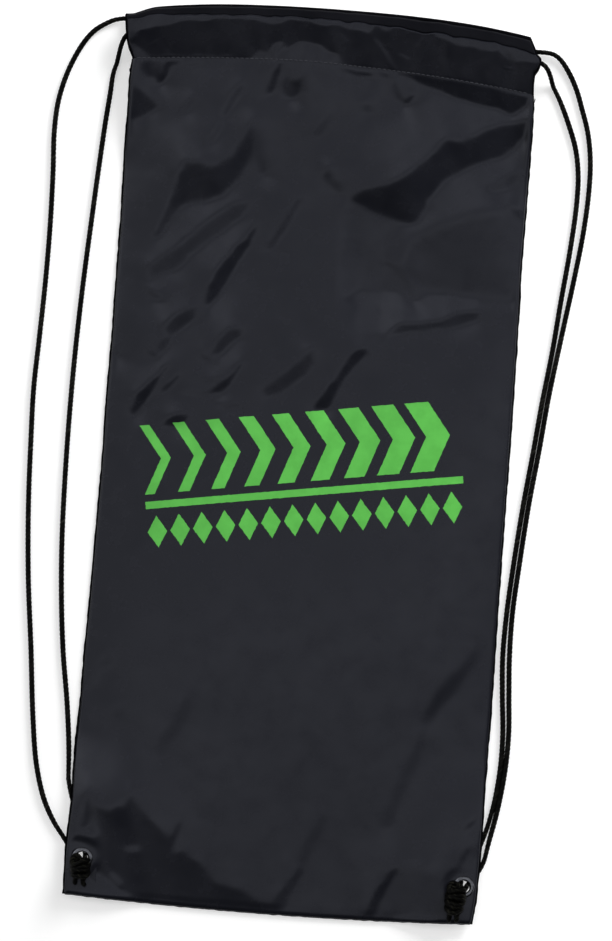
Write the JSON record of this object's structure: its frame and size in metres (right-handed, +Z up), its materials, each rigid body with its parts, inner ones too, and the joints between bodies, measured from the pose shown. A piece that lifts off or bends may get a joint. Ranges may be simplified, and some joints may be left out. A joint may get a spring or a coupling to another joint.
{
  "type": "drawstring carry bag",
  "caption": "Flat drawstring carry bag of a roundnet set, in dark coated nylon, with paired shoulder cords knotted through metal eyelets in the bottom corners.",
  "frame": {"origin": "middle of the empty bag at the level of the table it lies on", "axes": "+X across the bag to its right side, +Y along the bag towards the mouth, +Z up out of the front panel"},
  "size_m": [0.3754, 0.6226, 0.019],
  "materials": {
    "bag_cloth": "matt coated nylon with a faint sheen",
    "casing_cloth": "matt coated nylon, folded and gathered",
    "seam_cloth": "raw nylon seam allowance, overlocked",
    "patch_cloth": "plain nylon reinforcement",
    "eyelet_metal": "gunmetal plated, polished",
    "washer_metal": "gunmetal plated, polished",
    "sewing_thread": "twisted polyester thread",
    "tack_thread": "dense satin bar tack",
    "print_ink": "screen printed ink, slightly cracked",
    "drawcord": "twisted polyester cord",
    "knot_cord": "twisted polyester cord, knotted"
  },
  "bodies": {
    "bag": {"back_panel": "bag_cloth", "front_panel": "bag_cloth", "back_foot": "bag_cloth", "front_foot": "bag_cloth", "back_casing": "casing_cloth", "front_casing": "casing_cloth", "left_side_seam": "seam_cloth", "right_side_seam": "seam_cloth", "bottom_seam": "seam_cloth", "left_corner_patch": "patch_cloth", "right_corner_patch": "patch_cloth", "left_eyelet": "eyelet_metal", "right_eyelet": "eyelet_metal", "left_eyelet_washer": "washer_metal", "right_eyelet_washer": "washer_metal", "back_casing_thread": "sewing_thread", "front_casing_thread": "sewing_thread", "left_bar_tack": "tack_thread", "right_bar_tack": "tack_thread", "front_print": "print_ink", "back_cord_run": "drawcord", "front_cord_run": "drawcord", "left_outer_lead": "drawcord", "left_inner_lead": "drawcord", "right_outer_lead": "drawcord", "right_inner_lead": "drawcord"},
    "left_knot": {"left_knot": "knot_cord"},
    "right_knot": {"right_knot": "knot_cord"},
    "left_outer_strand": {"left_outer_strand": "drawcord"},
    "left_inner_strand": {"left_inner_strand": "drawcord"},
    "right_outer_strand": {"right_outer_strand": "drawcord"},
    "right_inner_strand": {"right_inner_strand": "drawcord"}
  },
  "joints": [
    {"name": "left_outer_strand_swing", "type": "hinge", "parent": "bag", "child": "left_outer_strand", "pos_m": [-0.148, 0.297, 0.0028], "axis": [-0.0079, 1, 0.0019], "range_deg": [0, 95]},
    {"name": "left_inner_strand_swing", "type": "hinge", "parent": "bag", "child": "left_inner_strand", "pos_m": [-0.15, 0.266, 0.0017], "axis": [-0.0131, 0.9999, 0], "range_deg": [0, 95]},
    {"name": "right_outer_strand_swing", "type": "hinge", "parent": "bag", "child": "right_outer_strand", "pos_m": [0.147, 0.295, 0.0028], "axis": [-0.0063, -1, -0.002], "range_deg": [0, 95]},
    {"name": "right_inner_strand_swing", "type": "hinge", "parent": "bag", "child": "right_inner_strand", "pos_m": [0.1532, 0.271, 0.0017], "axis": [-0.019, -0.9998, 0], "range_deg": [0, 95]},
    {"name": "left_knot_pull", "type": "slide", "parent": "bag", "child": "left_knot", "axis": [0, 0, 1], "range_m": [0, 0.008]},
    {"name": "right_knot_pull", "type": "slide", "parent": "bag", "child": "right_knot", "axis": [0, 0, 1], "range_m": [0, 0.008]}
  ]
}
